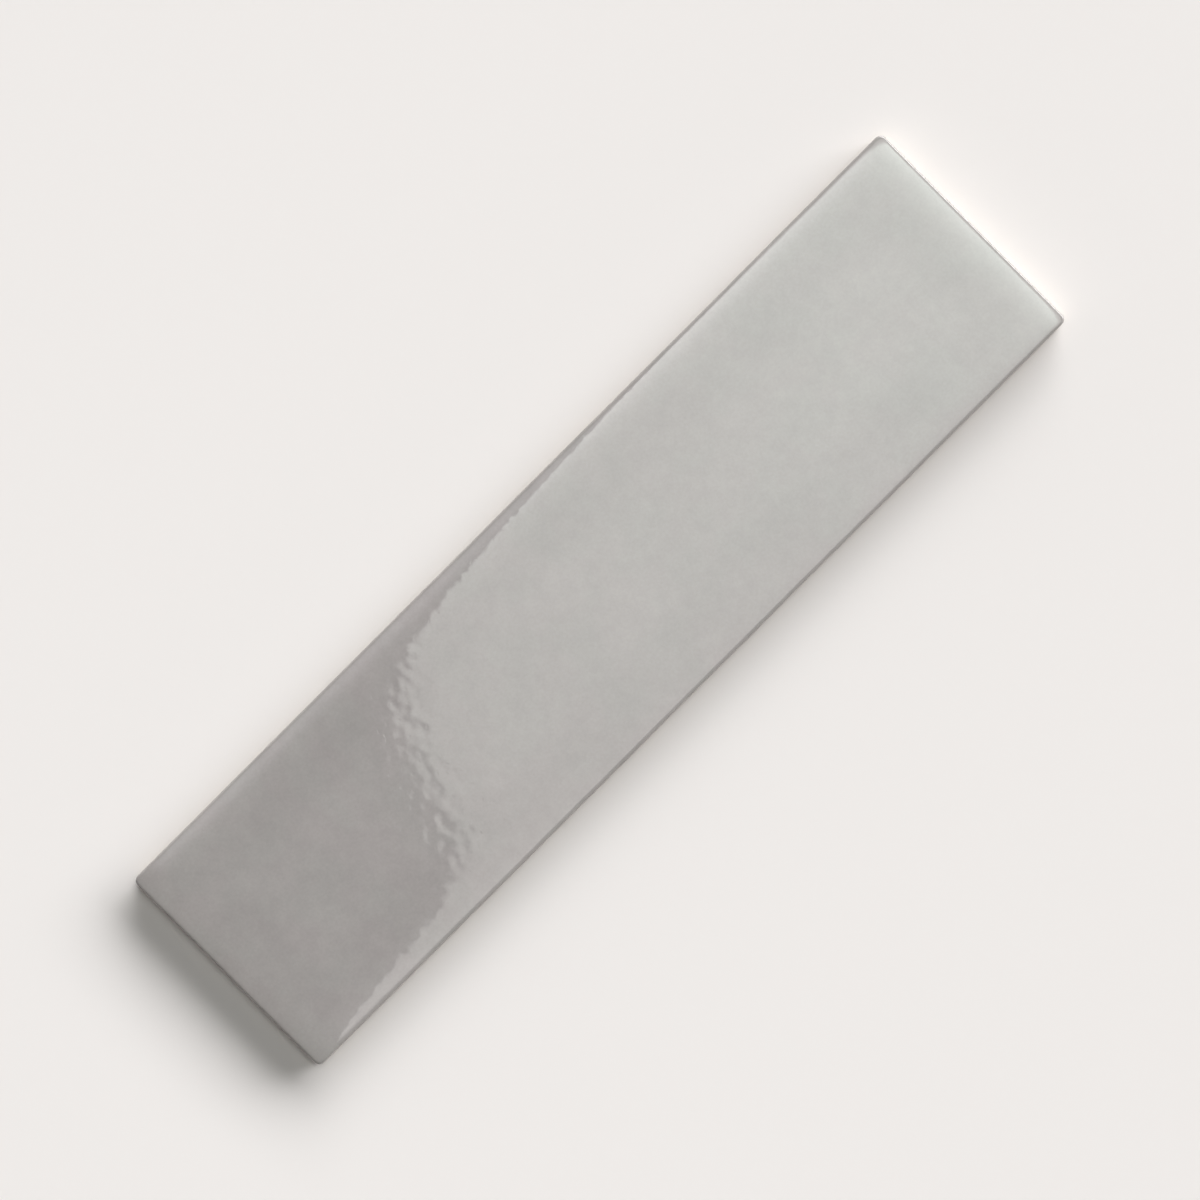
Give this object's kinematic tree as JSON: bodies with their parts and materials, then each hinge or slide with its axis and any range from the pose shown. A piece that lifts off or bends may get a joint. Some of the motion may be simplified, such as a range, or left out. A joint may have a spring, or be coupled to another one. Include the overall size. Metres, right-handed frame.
{
  "type": "ceramic wall tile",
  "caption": "Long glazed ceramic wall tile, four times as long as wide, with cushioned edges, glossy warm grey face and keyed back.",
  "frame": {"origin": "middle of the back, on the plane of its border and ribs", "axes": "+X along the tile's length, +Y across it, +Z out of the glazed face"},
  "size_m": [0.3, 0.075, 0.0085],
  "materials": {
    "glazed_tile": "gloss"
  },
  "bodies": {
    "root": {"tile": "glazed_tile"}
  },
  "joints": []
}
